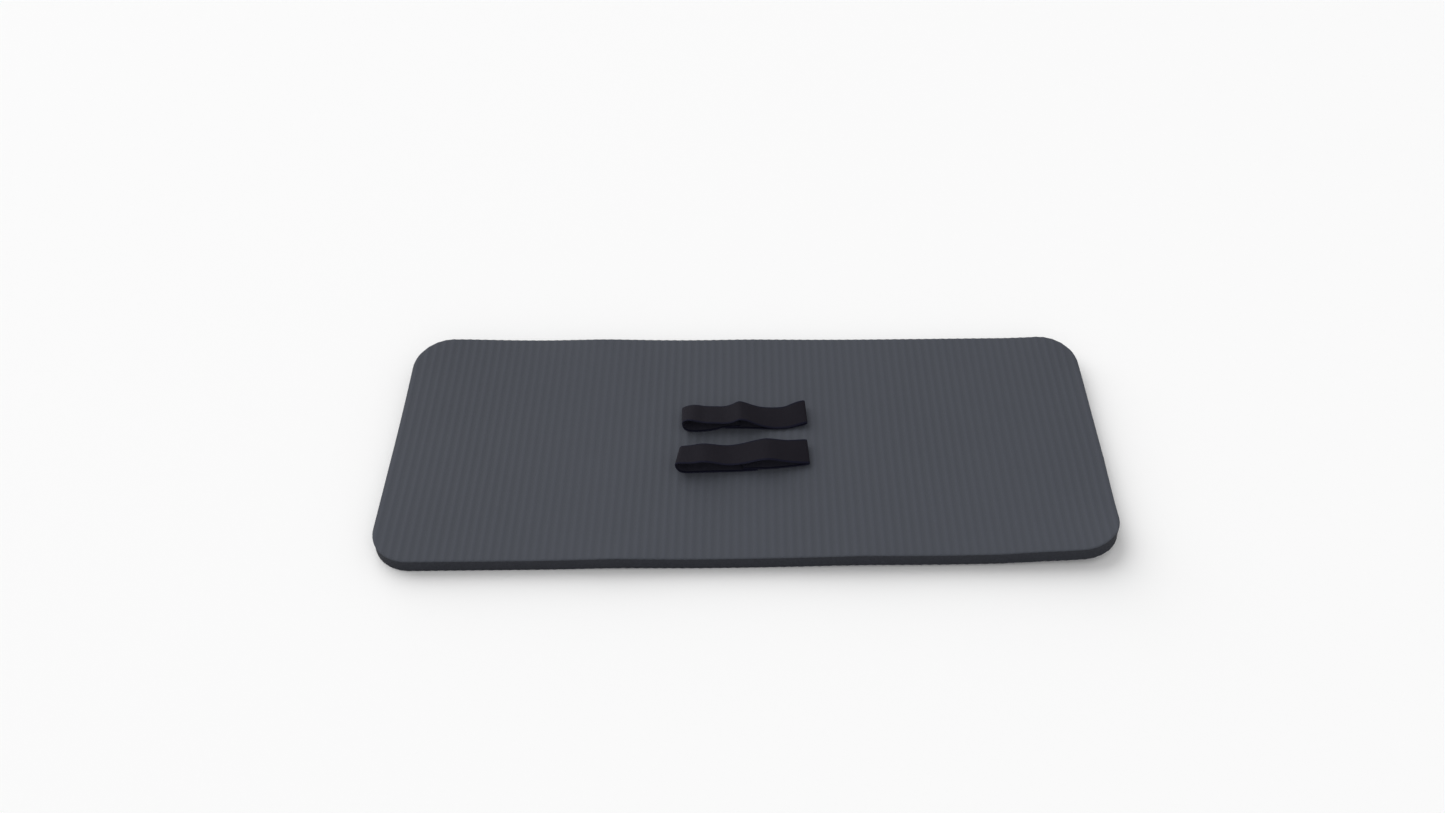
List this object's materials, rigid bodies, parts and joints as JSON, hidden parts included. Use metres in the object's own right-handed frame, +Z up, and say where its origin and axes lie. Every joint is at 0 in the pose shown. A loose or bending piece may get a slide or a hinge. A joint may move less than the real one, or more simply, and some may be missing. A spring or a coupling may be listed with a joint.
{
  "type": "kneeling pad",
  "caption": "Rectangular foam kneeling pad with round corners and ribbed faces, with loose elastic bands that hold it rolled up.",
  "frame": {"origin": "centre of the foam pad's underside, on the surface that it lies on", "axes": "+X along the pad's long side, +Y across it, towards the back band, +Z up through its thickness"},
  "size_m": [0.6, 0.25, 0.025],
  "materials": {
    "foam": "matt closed-cell foam, dark grey",
    "elastic": "woven elastic, black",
    "thread": "spun polyester sewing thread, black"
  },
  "bodies": {
    "pad": {"foam_pad": "foam"},
    "front_band": {"front_band": "elastic", "front_band_needle_thread": "thread", "front_band_bobbin_thread": "thread"},
    "back_band": {"back_band": "elastic", "back_band_needle_thread": "thread", "back_band_bobbin_thread": "thread"}
  },
  "joints": [
    {"name": "front_band_lift", "type": "slide", "parent": "pad", "child": "front_band", "axis": [0, 0, 1], "range_m": [0, 0.12]},
    {"name": "back_band_lift", "type": "slide", "parent": "pad", "child": "back_band", "axis": [0, 0, 1], "range_m": [0, 0.12]}
  ]
}
